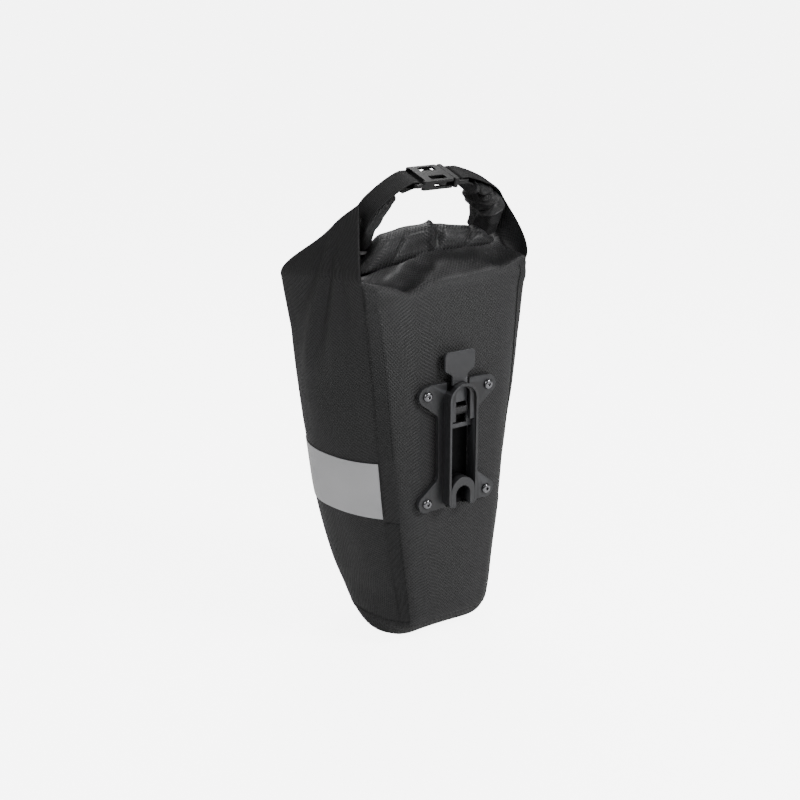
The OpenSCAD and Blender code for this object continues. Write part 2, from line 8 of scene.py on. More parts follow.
import bmesh
import bpy
import numpy as np
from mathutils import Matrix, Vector


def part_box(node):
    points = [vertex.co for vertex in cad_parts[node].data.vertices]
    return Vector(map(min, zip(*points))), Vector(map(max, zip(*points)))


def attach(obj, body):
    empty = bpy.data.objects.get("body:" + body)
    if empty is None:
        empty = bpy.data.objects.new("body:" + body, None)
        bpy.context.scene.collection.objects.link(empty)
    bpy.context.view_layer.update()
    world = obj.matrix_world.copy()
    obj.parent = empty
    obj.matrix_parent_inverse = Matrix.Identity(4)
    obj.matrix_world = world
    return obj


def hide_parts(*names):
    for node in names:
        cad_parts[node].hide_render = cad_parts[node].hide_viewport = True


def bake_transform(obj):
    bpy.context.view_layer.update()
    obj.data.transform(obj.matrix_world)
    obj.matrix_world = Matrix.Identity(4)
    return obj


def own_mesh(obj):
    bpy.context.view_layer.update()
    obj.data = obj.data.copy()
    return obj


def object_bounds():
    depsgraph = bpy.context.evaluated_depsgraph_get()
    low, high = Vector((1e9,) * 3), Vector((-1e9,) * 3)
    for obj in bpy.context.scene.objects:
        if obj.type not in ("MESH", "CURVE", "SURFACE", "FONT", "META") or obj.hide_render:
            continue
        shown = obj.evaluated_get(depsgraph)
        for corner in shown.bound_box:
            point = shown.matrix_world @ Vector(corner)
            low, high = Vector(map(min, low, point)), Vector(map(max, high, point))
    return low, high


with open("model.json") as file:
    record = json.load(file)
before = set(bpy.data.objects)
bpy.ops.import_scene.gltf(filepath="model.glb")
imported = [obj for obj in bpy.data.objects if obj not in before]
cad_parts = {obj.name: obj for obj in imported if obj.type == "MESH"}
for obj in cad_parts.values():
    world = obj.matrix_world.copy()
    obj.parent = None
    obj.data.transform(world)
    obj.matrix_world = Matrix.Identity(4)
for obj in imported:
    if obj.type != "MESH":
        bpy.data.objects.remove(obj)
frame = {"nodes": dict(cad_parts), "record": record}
cad_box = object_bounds()
MM = 0.001

# ---------- camera, lights and floor ----------
CAMERA_AT = Vector((-693.6, -878.8, 457.4)) * MM
CAMERA_LOOK = Vector((0.549, 0.776, -0.311))
LENS_MM = 58.5
MIDDLE = (cad_box[0] + cad_box[1]) / 2
# In metres: the floor's half side, and the gap between it and the bag. Its glow is a plain strength
FLOOR_HALF, FLOOR_GAP, FLOOR_GLOW = 90.0, 0.0005, 6.0


def new_object(name, data):
    obj = bpy.data.objects.new(name, data)
    bpy.context.scene.collection.objects.link(obj)
    return obj


def add_camera():
    camera = new_object("camera", bpy.data.cameras.new("camera"))
    camera.data.lens = LENS_MM
    camera.data.sensor_width = 36
    camera.location = CAMERA_AT
    camera.rotation_euler = CAMERA_LOOK.to_track_quat("-Z", "Y").to_euler()
    bpy.context.scene.camera = camera


def area_light(name, away, size, watts):
    """A soft square light at that offset from the bag's middle, aimed at it."""
    light = new_object(name, bpy.data.lights.new(name, "AREA"))
    light.data.shape = "SQUARE"
    light.data.size = size
    light.data.energy = watts
    light.location = MIDDLE + Vector(away)
    light.rotation_euler = (-Vector(away)).to_track_quat("-Z", "Y").to_euler()


def add_world(strength):
    world = bpy.data.worlds.new("studio")
    world.use_nodes = True
    background = world.node_tree.nodes["Background"].inputs
    background["Color"].default_value = (1, 1, 1, 1)
    background["Strength"].default_value = strength
    bpy.context.scene.world = world


def add_floor(z):
    """A wide pale floor at height z. It glows for the camera alone, so it adds no light of its own."""
    mesh = bpy.data.meshes.new("floor")
    corners = [(x * FLOOR_HALF, y * FLOOR_HALF, z) for x, y in ((-1, -1), (1, -1), (1, 1), (-1, 1))]
    mesh.from_pydata(corners, [], [(0, 1, 2, 3)])
    floor = new_object("floor", mesh)
    graph = Graph("floor", (0.9, 0.9, 0.9), 0.9, Specular_IOR_Level=0.1, Emission_Color=(1, 1, 1, 1))
    seen = graph.node("LightPath").outputs["Is Camera Ray"]
    graph.link(graph.math("MULTIPLY", seen, FLOOR_GLOW), "Emission Strength")
    mesh.materials.append(graph.material)


add_camera()
add_world(0.22)
area_light("key", (0.8, -1.25, 1.0), 0.5, 30)
area_light("top_back", (0.45, 0.75, 1.35), 0.6, 15)
area_light("fill", (-1.4, -0.6, 1.2), 0.9, 14)


# ---------- materials ----------
class Graph:
    """Short names for building one material's nodes."""

    def __init__(self, name, colour, roughness, **sockets):
        self.material = bpy.data.materials.new(name)
        self.material.use_nodes = True
        self.tree = self.material.node_tree
        self.surface = self.tree.nodes["Principled BSDF"]
        self.colour = colour
        self.set_socket("Base Color", (*colour, 1))
        self.set_socket("Roughness", roughness)
        for label, value in sockets.items():
            self.set_socket(label.replace("_", " "), value)

    def set_socket(self, label, value):
        self.surface.inputs[label].default_value = value

    def node(self, kind):
        return self.tree.nodes.new("ShaderNode" + kind)

    def link(self, source, label):
        self.tree.links.new(source, self.surface.inputs[label])

    def math(self, operation, a, b=0.0, c=0.0):
        node = self.node("Math")
        node.operation = operation
        for socket, value in zip(node.inputs, (a, b, c)):
            if isinstance(value, (int, float)):
                socket.default_value = value
            else:
                self.tree.links.new(value, socket)
        return node.outputs[0]

    def uv(self):
        node = self.node("TexCoord")
        split = self.node("SeparateXYZ")
        self.tree.links.new(node.outputs["UV"], split.inputs[0])
        return split.outputs["X"], split.outputs["Y"]

    def noise(self, scale, detail):
        coordinates = self.node("TexCoord")
        node = self.node("TexNoise")
        node.inputs["Scale"].default_value = scale
        node.inputs["Detail"].default_value = detail
        self.tree.links.new(coordinates.outputs["Object"], node.inputs["Vector"])
        return node.outputs["Fac"]

    def ramp(self, value, low, high, out_low=0.0, out_high=1.0):
        node = self.node("MapRange")
        node.interpolation_type = "SMOOTHSTEP"
        limits = {"From Min": low, "From Max": high, "To Min": out_low, "To Max": out_high}
        for label, number in limits.items():
            node.inputs[label].default_value = number
        self.tree.links.new(value, node.inputs["Value"])
        return node.outputs["Result"]

    def tint(self, value, dark, light):
        """Mixes two shades of the colour by a 0 to 1 value. Returns the socket of the light one."""
        node = self.node("Mix")
        node.data_type = "RGBA"
        for socket, share in ((6, dark), (7, light)):
            node.inputs[socket].default_value = (*(share * c for c in self.colour), 1)
        self.tree.links.new(value, node.inputs[0])
        self.link(node.outputs[2], "Base Color")
        return node.inputs[7]

    def bump(self, height, depth_mm):
        node = self.node("Bump")
        node.inputs["Strength"].default_value = 1.0
        node.inputs["Distance"].default_value = depth_mm * MM
        self.tree.links.new(height, node.inputs["Height"])
        self.link(node.outputs[0], "Normal")


def lattice(graph, pitch_mm, width):
    """Crossed diagonal threads: 1 on a thread, 0 in the diamond between them."""
    u, v = graph.uv()
    per_m = 1 / (pitch_mm * MM)
    lines = []
    for operation in ("ADD", "SUBTRACT"):
        across = graph.math("MULTIPLY", graph.math(operation, u, v), per_m)
        lines.append(graph.ramp(graph.math("PINGPONG", across, 0.5), 0.0, width, 1.0, 0.0))
    return graph.math("MAXIMUM", lines[0], lines[1])


# The diamond weave: pitch in mm, how far threads and gaps part from the mean colour, and bump depth in mm
WEAVE_PITCH, WEAVE_CONTRAST, WEAVE_DEPTH = 3.5, 0.85, 0.34


def ripstop(name, colour, roughness, coat=0.0):
    """Coated ripstop: a diagonal diamond weave, fine yarn grain and soft uneven sheen."""
    graph = Graph(name, colour, roughness, Specular_IOR_Level=0.42, Coat_Weight=coat, Coat_Roughness=0.3)
    threads = lattice(graph, WEAVE_PITCH, 0.34)
    grain = graph.noise(1500, 2.0)
    cloud = graph.noise(14, 4.0)
    shade = graph.math("MULTIPLY_ADD", threads, 0.6, graph.math("MULTIPLY", grain, 0.6))
    graph.tint(graph.ramp(shade, 0.1, 1.05), 1 - WEAVE_CONTRAST, 1 + WEAVE_CONTRAST)
    uneven = graph.math("MULTIPLY_ADD", cloud, 0.22, roughness - 0.11)
    graph.link(graph.math("MULTIPLY_ADD", grain, 0.12, uneven), "Roughness")
    graph.bump(graph.math("MULTIPLY_ADD", grain, 0.5, threads), WEAVE_DEPTH)
    return graph.material


# The webbing's lengthwise ribs, in mm from one to the next
WEB_RIB = 1.65


def webbing_material(name, colour):
    """Ribbed polyamide webbing: painted shade darkens the valleys between the mesh's own ribs, and their tops
    are painted lighter.
    """
    graph = Graph(name, colour, 0.68, Specular_IOR_Level=0.3)
    across = graph.math("ADD", graph.math("MULTIPLY", graph.uv()[0], 1 / (WEB_RIB * MM)), 0.5)
    rib = graph.math("MULTIPLY", graph.math("PINGPONG", across, 0.5), 2.0)
    grain = graph.noise(2400, 2.0)
    # Painted shade in the rib valleys and painted light on the rib tops, with fine grain.
    graph.tint(graph.math("MULTIPLY_ADD", rib, 0.7, graph.math("MULTIPLY", grain, 0.3)), 0.2, 2.6)
    graph.bump(graph.math("MULTIPLY_ADD", grain, 0.3, rib), 0.3)
    return graph.material


def reflective_material(name, colour):
    """Glass-bead reflective film: fine bright specks over a faint weave."""
    graph = Graph(name, colour, 0.42, Specular_IOR_Level=0.5, Sheen_Weight=0.1)
    specks = graph.noise(3200, 1.0)
    weave = lattice(graph, 1.6, 0.4)
    cloud = graph.noise(25, 3.0)
    shade = graph.math("MULTIPLY_ADD", specks, 0.5, graph.math("MULTIPLY", weave, 0.22))
    graph.tint(graph.math("MULTIPLY_ADD", cloud, 0.35, shade), 0.72, 1.2)
    graph.bump(graph.math("MULTIPLY_ADD", specks, 0.7, weave), 0.06)
    return graph.material


def plastic(name, colour, roughness, grain_depth=0.02, edge=1.6, gloss=0.5, channel=None):
    """Moulded plastic: fine grain, faint flow marks, and a painted highlight that makes sharp edges lighter.
    """
    graph = Graph(name, colour, roughness, Specular_IOR_Level=gloss)
    grain = graph.noise(1900, 2.0)
    flow = graph.noise(45, 4.0)
    form = graph.node("NewGeometry")
    # Painted highlight: sharp edges found by pointiness are painted lighter, by the share edge, as if lit.
    lit_edge = graph.ramp(form.outputs["Pointiness"], 0.51, 0.62)
    shade = graph.math("MULTIPLY_ADD", graph.math("SUBTRACT", flow, 0.5), 0.3, lit_edge)
    graph.tint(shade, 0.92, edge)
    graph.link(graph.math("MULTIPLY_ADD", flow, 0.16, roughness - 0.08), "Roughness")
    graph.bump(grain, grain_depth)
    # channel gives the painted shade inside the bracket's channel.
    if channel:
        paint_channel_shade(graph, *channel)
    return graph.material


def paint_channel_shade(graph, half_w, start, end, share):
    """Paints shade into the plastic inside the bracket's channel, from depth start to depth end: there its
    colour and specular fall to that share.
    """
    coordinates = graph.node("TexCoord")
    split = graph.node("SeparateXYZ")
    graph.tree.links.new(coordinates.outputs["Object"], split.inputs[0])
    off_middle = graph.math("ABSOLUTE", split.outputs["X"])
    across = graph.ramp(off_middle, (half_w - 0.8) * MM, half_w * MM, 1.0, 0.0)
    deep = graph.ramp(split.outputs["Y"], start * MM, end * MM, 0.0, 1.0)
    keep = graph.math("MULTIPLY_ADD", graph.math("MULTIPLY", across, deep), share - 1.0, 1.0)
    before = graph.surface.inputs["Base Color"].links[0].from_socket
    graph.tree.links.new(before, graph.tint(keep, 0, 1))
    graph.link(graph.math("MULTIPLY", keep, 0.5), "Specular IOR Level")


def metal(name, colour, roughness, streak=0.0):
    graph = Graph(name, colour, roughness, Metallic=1.0)
    fine = graph.noise(900, 3.0)
    cloud = graph.noise(60, 3.0)
    graph.tint(cloud, 0.86, 1.04)
    graph.link(graph.math("MULTIPLY_ADD", fine, streak + 0.05, roughness), "Roughness")
    graph.bump(fine, 0.004 + streak * 0.02)
    return graph.material


def thread_material(name, colour):
    graph = Graph(name, colour, 0.6, Sheen_Weight=0.3)
    twist = graph.noise(5200, 1.0)
    graph.tint(twist, 0.5, 1.7)
    graph.bump(twist, 0.08)
    return graph.material


MATERIALS = {
    "fabric_body": ripstop("fabric_body", (0.0095, 0.0096, 0.01), 0.52),
    "fabric_back": ripstop("fabric_back", (0.0125, 0.0126, 0.013), 0.48),
    "fabric_fold": ripstop("fabric_fold", (0.009, 0.0091, 0.0096), 0.38, coat=0.1),
    "seam_tape": ripstop("seam_tape", (0.0062, 0.0063, 0.0067), 0.55),
    "reflective": reflective_material("reflective", (0.42, 0.42, 0.43)),
    "webbing": webbing_material("webbing", (0.007, 0.007, 0.0073)),
    "thread": thread_material("thread", (0.03, 0.03, 0.031)),
    "buckle_plastic": plastic("buckle_plastic", (0.0045, 0.0045, 0.005), 0.34, 0.0, 1.5, 0.3),
    # The bracket and the seat get painted shade inside the channel, and every plastic a painted highlight on
    # its edges.
    "bracket_plastic": plastic("bracket_plastic", (0.017, 0.0175, 0.019), 0.42, 0.03, 2.6,
                               channel=(13.4, 2.0, 7.0, 0.12)),
    "seat_plastic": plastic("seat_plastic", (0.02, 0.0205, 0.022), 0.38, 0.02, 2.2,
                            channel=(13.4, 3.0, 9.0, 0.2)),
    "tab_plastic": plastic("tab_plastic", (0.024, 0.0245, 0.0265), 0.4, 0.02, 2.2),
    "pawl_plastic": plastic("pawl_plastic", (0.012, 0.012, 0.013), 0.45),
    "gasket": plastic("gasket", (0.012, 0.012, 0.012), 0.85, 0.04, 1.2, 0.25),
    "board": plastic("board", (0.03, 0.03, 0.03), 0.6, 0.05),
    "backing_metal": metal("backing_metal", (0.6, 0.6, 0.62), 0.38, 0.25),
    "screw_chrome": metal("screw_chrome", (0.2, 0.2, 0.21), 0.16),
    "steel": metal("steel", (0.5, 0.5, 0.52), 0.35, 0.15),
    "spring_steel": metal("spring_steel", (0.58, 0.58, 0.6), 0.22),
}
slot_of = {part["node"]: part["material_slot"] for part in frame["record"]["subparts"]}
for name, obj in frame["nodes"].items():
    obj.data.materials.clear()
    obj.data.materials.append(MATERIALS[slot_of[name]])

# ---------- general shape tools ----------
GRID_SIZE, SEED_STEP = 32, 7.31
TABLE = np.random.default_rng(11).random((GRID_SIZE, GRID_SIZE, GRID_SIZE)) * 2 - 1


def noise(points, size_mm, seed):
    """Smooth value noise from -1 to 1 at each point, with bumps about that size."""
    p = np.asarray(points) / size_mm + seed * SEED_STEP
    cell = np.floor(p).astype(int)
    f = p - cell
    f = f * f * (3 - 2 * f)
    total = 0
    for corner in np.ndindex(2, 2, 2):
        weight = 1
        for axis in range(3):
            weight = weight * (f[..., axis] if corner[axis] else 1 - f[..., axis])
        index = tuple((cell[..., axis] + corner[axis]) % GRID_SIZE for axis in range(3))
        total = total + weight * TABLE[index]
    return total


def smooth(value, low, high):
    t = np.clip((value - low) / (high - low), 0, 1)
    return t * t * (3 - 2 * t)


def bell(value, centre, width):
    return np.exp(-(((value - centre) / width) ** 2))


def unit(vectors):
    return vectors / np.maximum(np.linalg.norm(vectors, axis=-1, keepdims=True), 1e-9)


def lerp(a, b, t):
    return a + (b - a) * t


def bezier(a, b, c, d, t):
    a, b, c, d = (np.array(p, float) for p in (a, b, c, d))
    t = np.asarray(t)[..., None]
    s = 1 - t
    return a * s**3 + 3 * b * s * s * t + 3 * c * s * t * t + d * t**3


def circle(count):
    """Angles once round, without the last one repeated."""
    return np.linspace(0, 2 * math.pi, count, endpoint=False)


def spread(*values):
    """The values as the last axis of one array, each spread to the same grid."""
    return np.stack(np.broadcast_arrays(*values), -1)


def lengths_along(points, axis):
    """Running length of a grid's lines along one axis, in mm."""
    steps = np.linalg.norm(np.diff(points, axis=axis), axis=-1)
    start = np.zeros_like(np.take(steps, [0], axis=axis))
    return np.concatenate([start, np.cumsum(steps, axis=axis)], axis=axis)


def mesh_object(name, points, faces, uvs, material):
    """An object from points in mm. uvs holds one (u, v) for each point, in mm along the cloth."""
    mesh = bpy.data.meshes.new(name)
    mesh.from_pydata([tuple(p) for p in np.asarray(points) * MM], [], faces)
    mesh.validate()
    if uvs is not None:
        layer = mesh.uv_layers.new(name="cloth")
        corner = np.zeros(len(mesh.loops), int)
        mesh.loops.foreach_get("vertex_index", corner)
        layer.data.foreach_set("uv", (np.asarray(uvs)[corner] * MM).ravel())
    build = bmesh.new()
    build.from_mesh(mesh)
    bmesh.ops.recalc_face_normals(build, faces=build.faces)
    build.to_mesh(mesh)
    build.free()
    mesh.polygons.foreach_set("use_smooth", [True] * len(mesh.polygons))
    mesh.materials.append(MATERIALS[material])
    return new_object(name, mesh)


def grid_faces(rows, cols, offset=0, closed=False):
    """Quads of a grid of points. closed joins the last column to the first."""
    out = []
    for i in range(rows - 1):
        for j in range(cols if closed else cols - 1):
            k = (j + 1) % cols
            out.append((offset + i * cols + j, offset + i * cols + k,
                        offset + (i + 1) * cols + k, offset + (i + 1) * cols + j))
    return out


def cloth(name, outer, inner, uv, material, normals=None):
    """A closed thin piece of cloth between two grids of points, shaded by the whole surface's normals."""
    rows, cols = outer.shape[:2]
    total = rows * cols
    points = np.concatenate([outer.reshape(-1, 3), inner.reshape(-1, 3)])
    faces = grid_faces(rows, cols) + grid_faces(rows, cols, total)
    border = [j for j in range(cols)]
    border += [i * cols + cols - 1 for i in range(1, rows)]
    border += [(rows - 1) * cols + j for j in range(cols - 2, -1, -1)]
    border += [i * cols for i in range(rows - 2, 0, -1)]
    for a, b in zip(border, border[1:] + border[:1]):
        faces.append((a, b, b + total, a + total))
    obj = mesh_object(name, points, faces, np.concatenate([uv.reshape(-1, 2)] * 2), material)
    if normals is not None:
        flat = unit(normals.reshape(-1, 3))
        obj.data.normals_split_custom_set_from_vertices([tuple(n) for n in np.concatenate([flat, -flat])])
    return obj


def tube(name, rings, uv, material):
    """A closed tube through rings of points, with a fan over each end."""
    rows, cols = rings.shape[:2]
    points = np.concatenate([rings.reshape(-1, 3), [rings[0].mean(0)], [rings[-1].mean(0)]])
    faces = grid_faces(rows, cols, 0, True)
    for j in range(cols):
        faces.append((rows * cols, j, (j + 1) % cols))
        faces.append((rows * cols + 1, (rows - 1) * cols + j, (rows - 1) * cols + (j + 1) % cols))
    uvs = np.concatenate([uv.reshape(-1, 2), [uv[0].mean(0)], [uv[-1].mean(0)]])
    return mesh_object(name, points, faces, uvs, material)


def place(obj, body, node):
    """The piece rides on that body and stands for that CAD node, which it hides."""
    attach(obj, body)
    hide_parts(node)


# ---------- the bag's body surface ----------
# Sizes in mm, the same as the CAD's
BODY_H, BOTTOM_DROP = 360.0, 153.5
SEAM_Y, HALF_BACK, HALF_WIDE, DEPTH = 20.0, 91.0, 102.0, 155.0
FLAT_HALF, FLAT_SHARE, PANEL_Y = 46.0, 0.62, 14.8
FABRIC_T, TAPE_T, BAND_T = 1.2, 0.6, 0.4
# Rows of the low seam, the last ring and the band, and how far round each side the front corner is
LOW_ROW, LAST_ROW = 6, 8
BAND_ROWS = (2, 3)
CORNER_SHARE = 8 / 17
# The squared form near the top: how sharp its corners are, and how much its sides lean
SQUARE_POWER, SIDE_LEAN = 14.0, 0.194
# Height, back and side half-widths, front reach and centre depth as shares, then seam set-in, bow,
# squareness and tilt, from the top row down
ROWS = np.array([
    (1.000, 1.022, 0.990, 0.890, 0.430, 8, 6.0, 1.00, 0.090),
    (0.760, 0.915, 0.985, 0.995, 0.460, 8, 13.2, 0.45, 0.020),
    (0.526, 0.812, 0.960, 1.000, 0.480, 12, 17.2, 0.06, 0.000),
    (0.372, 0.750, 0.895, 0.970, 0.490, 12, 17.2, 0.00, 0.000),
    (0.218, 0.660, 0.790, 0.875, 0.465, 11, 15.0, 0.00, 0.000),
    (0.111, 0.600, 0.700, 0.725, 0.410, 9, 12.0, 0.00, 0.000),
    (0.056, 0.560, 0.640, 0.650, 0.380, 10, 9.0, 0.00, 0.000),
    (0.016, 0.500, 0.570, 0.570, 0.330, 18, 4.0, 0.00, 0.000),
    (-0.004, 0.400, 0.480, 0.480, 0.300, 32, 0.0, 0.00, 0.000)])
HALF_COLS, BACK_COLS = 120, 96
SIDE_COLS = 2 * HALF_COLS
# The back corners are cut off by a narrow sloping strip: its columns and where its inner edge is
CREASE_COLS = 7
CREASE_SHARE = 1 - CREASE_COLS / (BACK_COLS / 2)


def section(v):
    """The row of shape values at position v down the body, by a Catmull-Rom curve through ROWS."""
    i = min(int(v), LAST_ROW - 1)
    a, b, c, d = (ROWS[min(max(i + k, 0), LAST_ROW)] for k in (-1, 0, 1, 2))
    t = v - i
    return 0.5 * (2 * b + (c - a) * t + (2 * a - 5 * b + 4 * c - d) * t * t + (3 * b - a - 3 * c + d) * t**3)


def body_ring(v):
    """The closed outline at position v: right seam, front, left seam, then the back from left to right."""
    r = section(v)
    z, seam_x = r[0] * BODY_H - BOTTOM_DROP, r[1] * HALF_BACK
    seam_d, centre = SEAM_Y + r[5], SEAM_Y + r[4] * DEPTH
    start = math.atan2(seam_d - centre, seam_x)
    share = np.linspace(0, 1, HALF_COLS + 1)
    angle = lerp(start, math.pi / 2, share)
    side, back = r[2] * HALF_WIDE, math.hypot(seam_x, centre - seam_d)
    front = SEAM_Y + r[3] * DEPTH - centre
    sine = np.sin(angle)
    round_r = np.where(angle < 0, side + (back - side) * (angle / start) ** 2,
                       side + (front - side) * sine**2)
    lean = np.maximum(np.cos(angle) - SIDE_LEAN * sine, 1e-3)
    square_side = HALF_WIDE * 0.99 / lean
    square_front = (56 + 16 * np.maximum(0, (sine - 0.448) / 0.552)) / np.maximum(sine, 0.02)
    square_r = (square_side**-SQUARE_POWER + square_front**-SQUARE_POWER) ** (-1 / SQUARE_POWER)
    square_r = np.where(angle < math.radians(3), square_side, square_r)
    radius = lerp(round_r, square_r, r[7] * np.minimum(1, share * 6))
    y = centre + radius * sine
    half = np.stack([radius * np.cos(angle), y, z - r[8] * (y - seam_d)], -1)
    left = half[-2::-1] * (-1, 1, 1)
    x = np.linspace(-seam_x, seam_x, BACK_COLS + 1)[1:-1]
    flat = min(FLAT_HALF, FLAT_SHARE * seam_x)
    edge = np.minimum(np.abs(x) / seam_x, CREASE_SHARE) - flat / seam_x
    panel = np.maximum(PANEL_Y, seam_d - r[6] * (1 - (np.maximum(0, edge) / (1 - flat / seam_x)) ** 3))
    corner = np.maximum(0, (np.abs(x) / seam_x - CREASE_SHARE) / (1 - CREASE_SHARE))
    panel = lerp(panel, seam_d, corner)
    return np.concatenate([half, left, np.stack([x, panel, np.full_like(x, z)], -1)])


# The folded top of each side, from the free back edge's peak to the front corner
WING = {1: ((86, 57, 262), (89, 66, 259), (88, 78, 251), (85, 85, 243)),
        -1: ((76, 56, 269), (82, 64, 262), (86, 76, 254), (86, 85, 246))}
SLOPE_FRONT_Y, SLOPE_Z = 84.9, 222.0


def top_line():
    """The folded top's edge above the side and front columns, from the right back seam to the left one."""
    share = np.linspace(0, 1, HALF_COLS + 1)
    halves = []
    for sign in (1, -1):
        wing = bezier(*WING[sign], np.minimum(share / CORNER_SHARE, 1))
        k = np.clip((1 - share) / (1 - CORNER_SHARE), 0, 1)
        end = WING[sign][3]
        front = np.stack([end[0] * k, lerp(SLOPE_FRONT_Y, end[1], k**4), lerp(SLOPE_Z, end[2], k**4)], -1)
        halves.append(np.where((share <= CORNER_SHARE)[:, None], wing, front) * (sign, 1, 1))
    return soften_open(np.concatenate([halves[0], halves[1][-2::-1]]), 2.5)


def gaussian(sigma):
    """Offsets and weights of a Gaussian that adds up to 1."""
    reach = int(3 * sigma) + 1
    offsets = np.arange(-reach, reach + 1)
    weights = np.exp(-0.5 * (offsets / sigma) ** 2)
    return offsets, weights / weights.sum()


def soften_open(line, sigma):
    """Smooths an open line and keeps its two ends where they are."""
    offsets, weights = gaussian(sigma)
    reach = offsets[-1]
    before, after = 2 * line[0] - line[reach:0:-1], 2 * line[-1] - line[-2:-reach - 2:-1]
    long_line = np.concatenate([before, line, after])
    return sum(w * long_line[i:i + len(line)] for i, w in enumerate(weights))


def soften(rings, sigma):
    """Rounds the corners of closed rings by a Gaussian along each ring."""
    return sum(w * np.roll(rings, o, axis=-2) for o, w in zip(*gaussian(sigma)))


# Rings of the folded top, rings from one of ROWS to the next, and the same below the low seam
TOP_ROW, ROW_STEPS, BOTTOM_STEPS = 30, 15, 12
LOW_INDEX = TOP_ROW + LOW_ROW * ROW_STEPS
ROW_V = np.concatenate([np.linspace(-1, 0, TOP_ROW + 1)[:-1], np.arange(LOW_ROW * ROW_STEPS) / ROW_STEPS,
                        np.linspace(LOW_ROW, LAST_ROW, 2 * BOTTOM_STEPS + 1)])


def wrap_top(base, below):
    """Rings of the side and front columns from the top line down to the body, which they leave smoothly."""
    top = top_line()
    chord = top - base
    length = np.linalg.norm(chord, axis=-1, keepdims=True)
    rise = unit(base - below) * length * 0.52
    near_back = np.maximum(0, 1 - np.linspace(0, 2, SIDE_COLS + 1) / CORNER_SHARE)[:, None]
    rings = []
    for t in -ROW_V[:TOP_ROW]:
        swell = math.sin(t * math.pi) * near_back * np.array([3.5, -2.0, 0])
        rings.append(swell + (2 * t**3 - 3 * t**2 + 1) * base + (t**3 - 2 * t**2 + t) * rise
                     + (3 * t**2 - 2 * t**3) * top + (t**3 - t**2) * chord)
    return np.array(rings)


def normals_of(grid, closed):
    """Outward directions of a stack of lines of points, closed rings or open ones."""
    around = np.roll(grid, -1, axis=1) - np.roll(grid, 1, axis=1) if closed else np.gradient(grid, axis=1)
    return unit(np.cross(np.gradient(grid, axis=0), around))


# Soft folds that run down each side from the ridge: distance from the back seam where the fold ends,
# depth, width and the height where it fades, all in mm
SIDE_FOLDS = [(20, -1.6, 7, 165), (42, 3.0, 11, 128), (62, -3.4, 9, 140), (84, 3.4, 12, 112),
              (104, -2.2, 9, 150)]
# The back panel's top edge sags in the middle and folds in at one place: where, how wide and how deep
SAG_H, DIP_X, DIP_W, DIP_H = 13.0, -44.0, 13.0, 8.0


def ripples(grid):
    return 0.8 * noise(grid, 55, 1) + 0.3 * noise(grid, 24, 2)


def side_folds(grid):
    """How far each point of the side and front columns stands out from the plain form, in mm."""
    x, z = grid[..., 0], grid[..., 2]
    from_right = lengths_along(grid, 1)
    along = np.minimum(from_right, from_right[:, -1:] - from_right)
    depth = ripples(grid)
    for index, (place_at, high, width, fade) in enumerate(SIDE_FOLDS):
        shift = np.where(x < 0, 0, 9 * math.sin(index * 2.1))
        fan = np.clip((250 - z) / (250 - fade), 0, 1.6)
        line = lerp(30, place_at + shift, fan) + 3 * noise(grid, 60, 3 + index)
        strength = smooth(z, fade - 30, fade + 30) * smooth(250 - z, 2, 34)
        depth = depth + high * strength * bell(along, line, width * (0.45 + 0.55 * fan))
    valley = bell(z, -104, 12) * bell(along, 34, 26) + 0.7 * bell(z, -60, 30) * bell(along, 52, 14)
    return depth - 2.0 * valley


def back_folds(grid):
    """The same for the back columns: a faint groove beside the inner board and a crease in each corner."""
    x, z = grid[..., 0], grid[..., 2]
    edge_gap = np.abs(x) - (np.abs(grid[:, :1, 0]) - 19)
    groove = smooth(z, -140, -95) * (1 - smooth(z, 70, 150)) * bell(edge_gap, 0, 6)
    crease = bell(z + 0.5 * np.abs(x), 236, 6) * smooth(np.abs(x), 30, 60) * (1 - smooth(z, 200, 207))
    return ripples(grid) - 0.4 * groove + 1.6 * crease


# How far corners of the rings are rounded, in columns
RING_SOFT = 1.3


def bag_surface():
    """The body's rings and the folded top above the side columns, with their folds, and their normals."""
    body = soften(np.array([body_ring(v) for v in ROW_V[TOP_ROW:]]), RING_SOFT)
    below = soften(body_ring(0.12)[None], RING_SOFT)[0]
    wrap = slice(0, SIDE_COLS + 1)
    top = wrap_top(body[0][wrap], below[wrap])
    side = np.concatenate([top, body[:, wrap]])
    side_normals = np.concatenate([normals_of(side, False)[:TOP_ROW], normals_of(body, True)[:, wrap]])
    side = side + side_normals * side_folds(side)[..., None]
    back_columns = np.arange(SIDE_COLS, body.shape[1] + 1) % body.shape[1]
    back = body[:, back_columns]
    back = back + normals_of(body, True)[:, back_columns] * back_folds(back)[..., None]
    fade = 1 - smooth(ROW_V[TOP_ROW:], -0.3, 0.75)[:, None]
    sag = SAG_H * (1 - (np.abs(back[..., 0]) / HALF_BACK) ** 3) * (0.75 - 0.25 * back[..., 0] / HALF_BACK)
    back[..., 1] += 2.6 * (1 - smooth(ROW_V[TOP_ROW:], -0.03, 0.12)[:, None])
    back[..., 2] -= np.maximum(0, sag + DIP_H * bell(back[..., 0], DIP_X, DIP_W)) * fade
    body = np.concatenate([side[TOP_ROW:], back[:, 1:-1]], axis=1)
    return body, side, normals_of(body, True), normals_of(side, False)


BODY, WRAP, BODY_OUT, WRAP_OUT = bag_surface()
WRAP_OUT[TOP_ROW:] = BODY_OUT[:, :SIDE_COLS + 1]


def whole_bag(wrap, body):
    """One grid for the bag. Beside the folded top, where there is no back, the back's first row repeats."""
    beside = np.repeat(body[:1, SIDE_COLS + 1:], TOP_ROW, axis=0)
    return np.concatenate([np.concatenate([wrap[:TOP_ROW], beside], axis=1), body])


